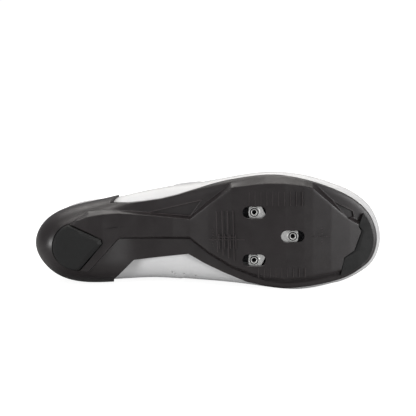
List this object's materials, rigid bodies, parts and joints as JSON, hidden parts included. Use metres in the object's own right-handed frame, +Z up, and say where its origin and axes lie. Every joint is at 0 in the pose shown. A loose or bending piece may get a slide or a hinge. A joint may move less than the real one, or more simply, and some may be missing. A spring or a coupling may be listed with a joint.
{
  "type": "road cycling shoe",
  "caption": "Right road cycling shoe: black moulded sole with heel and toe rubbers and sliding cleat nuts, white upper, padded tongue and closing straps, lying on its inner side.",
  "frame": {"origin": "centre of the bounding box's bottom: the shoe lies on its inner side on the floor at Z = 0", "axes": "+X from heel to toe, -Y the way the sole faces, +Z up from the floor, towards the shoe's outer side"},
  "size_m": [0.2846, 0.1028, 0.0964],
  "materials": {
    "sole_composite": "satin",
    "pad_rubber": "matte",
    "upper_white": "satin",
    "tongue_grey": "matte",
    "insole_grey": "matte",
    "strap_white": "satin",
    "nut_steel": "satin"
  },
  "bodies": {
    "shoe": {"sole": "sole_composite", "heel_pad": "pad_rubber", "toe_pad": "pad_rubber", "upper": "upper_white", "insole": "insole_grey", "tongue": "tongue_grey", "strap_toe": "strap_white", "strap_middle": "strap_white", "strap_instep": "strap_white"},
    "nut_front": {"nut_front": "nut_steel"},
    "nut_medial": {"nut_medial": "nut_steel"},
    "nut_lateral": {"nut_lateral": "nut_steel"}
  },
  "joints": [
    {"name": "nut_front_slide", "type": "slide", "parent": "shoe", "child": "nut_front", "axis": [0.9999, 0, 0.0168], "range_m": [-0.0045, 0.0045]},
    {"name": "nut_medial_slide", "type": "slide", "parent": "shoe", "child": "nut_medial", "axis": [0.9999, 0, 0.0168], "range_m": [-0.0045, 0.0045]},
    {"name": "nut_lateral_slide", "type": "slide", "parent": "shoe", "child": "nut_lateral", "axis": [0.9999, 0, 0.0168], "range_m": [-0.0045, 0.0045]}
  ]
}
